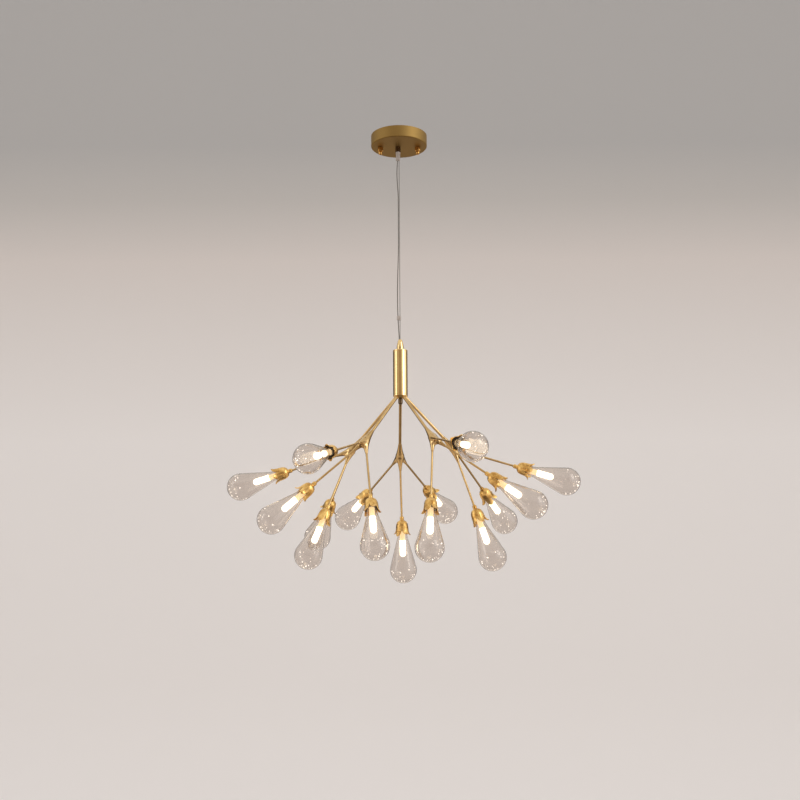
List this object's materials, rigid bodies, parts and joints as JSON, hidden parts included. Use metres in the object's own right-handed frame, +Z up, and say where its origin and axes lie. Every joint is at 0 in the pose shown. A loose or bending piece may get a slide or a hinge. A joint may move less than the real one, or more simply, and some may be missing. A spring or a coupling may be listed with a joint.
{
  "type": "branch chandelier",
  "caption": "Hanging chandelier: round canopy, steel wire and clear cable, short tube stem and slim rods that fork into arms with cast flower calyxes holding clear glass drops",
  "frame": {"origin": "on the ceiling plane, at the canopy's axis, which is the axis of the suspension wire", "axes": "+Z is up; seen from the front, +X is to the right and +Y is away from the viewer"},
  "size_m": [0.7315, 0.6876, 0.9467],
  "materials": {
    "crossbar_steel": "galvanised",
    "canopy_gold": "spun and plated, satin",
    "stud_steel": "zinc plated",
    "knob_gold": "plated, polished",
    "driver_white": "matte white",
    "terminal_cream": "gloss cream",
    "grip_dark_metal": "dark plated",
    "grip_clear": "clear moulded plastic",
    "wire_steel": "stranded, bright",
    "cable_clear": "clear sheath over tinned strands",
    "stem_gold": "polished",
    "inner_metal": "machined",
    "bolt_dark": "dark plated, polished",
    "splice_sleeve": "shrink sleeve",
    "rod_gold": "polished",
    "calyx_gold": "cast, polished",
    "holder_white": "ceramic white",
    "lamp_warm": "lit, warm white",
    "drop_glass": "blown, clear with a faint smoke tint"
  },
  "bodies": {
    "canopy": {"ceiling_crossbar": "crossbar_steel", "canopy_cup": "canopy_gold", "canopy_studs": "stud_steel", "canopy_knob_nuts": "knob_gold", "led_driver": "driver_white", "terminal_block": "terminal_cream", "cord_grip_nut": "stud_steel", "cord_grip_collar": "grip_dark_metal", "cord_grip_cone": "grip_clear", "wire_top_end": "wire_steel", "driver_lead": "cable_clear"},
    "grip_bush": {"cord_grip_bush": "grip_clear"},
    "suspension": {"suspension_wire": "wire_steel", "power_cable": "cable_clear", "cable_clip": "grip_clear", "wire_end_ferrule": "wire_steel"},
    "stem": {"finial": "stem_gold", "wire_seat_washer": "inner_metal", "stem_top_cap": "stem_gold", "stem_tube": "stem_gold", "stem_bridge": "inner_metal", "branch_hub": "stem_gold", "hub_bolt": "bolt_dark", "stem_lead": "cable_clear", "lead_splice": "splice_sleeve"},
    "branch_front_left": {"main_rod_front_left": "rod_gold", "fork_front_left": "rod_gold", "arms_front_left": "rod_gold", "calyxes_front_left": "calyx_gold", "lampholders_front_left": "holder_white", "led_capsules_front_left": "lamp_warm", "glass_drops_front_left": "drop_glass"},
    "branch_left": {"main_rod_left": "rod_gold", "fork_left": "rod_gold", "arms_left": "rod_gold", "calyxes_left": "calyx_gold", "lampholders_left": "holder_white", "led_capsules_left": "lamp_warm", "glass_drops_left": "drop_glass"},
    "branch_back": {"main_rod_back": "rod_gold", "fork_back": "rod_gold", "arms_back": "rod_gold", "calyxes_back": "calyx_gold", "lampholders_back": "holder_white", "led_capsules_back": "lamp_warm", "glass_drops_back": "drop_glass"},
    "branch_right": {"main_rod_right": "rod_gold", "fork_right": "rod_gold", "arms_right": "rod_gold", "calyxes_right": "calyx_gold", "lampholders_right": "holder_white", "led_capsules_right": "lamp_warm", "glass_drops_right": "drop_glass"},
    "branch_front_right": {"main_rod_front_right": "rod_gold", "fork_front_right": "rod_gold", "arms_front_right": "rod_gold", "calyxes_front_right": "calyx_gold", "lampholders_front_right": "holder_white", "led_capsules_front_right": "lamp_warm", "glass_drops_front_right": "drop_glass"}
  },
  "joints": [
    {"name": "swing_fore_aft", "type": "hinge", "parent": "canopy", "child": "grip_bush", "pos_m": [-0.0022, 0, -0.053], "axis": [1, 0, 0], "range_deg": [-10, 10]},
    {"name": "swing_sideways", "type": "hinge", "parent": "grip_bush", "child": "suspension", "pos_m": [-0.0022, 0, -0.053], "axis": [0, 1, 0], "range_deg": [-10, 10]},
    {"name": "stem_swivel", "type": "hinge", "parent": "suspension", "child": "stem", "pos_m": [0, 0, -0.461], "axis": [0, 0, 1], "range_deg": [-180, 180], "stiffness_Nm_per_rad": 0.02},
    {"name": "branch_twist_front_left", "type": "hinge", "parent": "stem", "child": "branch_front_left", "pos_m": [0, 0, -0.565], "axis": [-0.4384, -0.5224, -0.7314], "range_deg": [-10, 10]},
    {"name": "branch_twist_left", "type": "hinge", "parent": "stem", "child": "branch_left", "pos_m": [0, 0, -0.565], "axis": [-0.6448, 0.222, -0.7314], "range_deg": [-10, 10]},
    {"name": "branch_twist_back", "type": "hinge", "parent": "stem", "child": "branch_back", "pos_m": [0, 0, -0.565], "axis": [-0.0121, 0.6946, -0.7193], "range_deg": [-10, 10]},
    {"name": "branch_twist_right", "type": "hinge", "parent": "stem", "child": "branch_right", "pos_m": [0, 0, -0.565], "axis": [0.6797, 0.1949, -0.7071], "range_deg": [-10, 10]},
    {"name": "branch_twist_front_right", "type": "hinge", "parent": "stem", "child": "branch_front_right", "pos_m": [0, 0, -0.565], "axis": [0.3954, -0.5862, -0.7071], "range_deg": [-10, 10]}
  ]
}
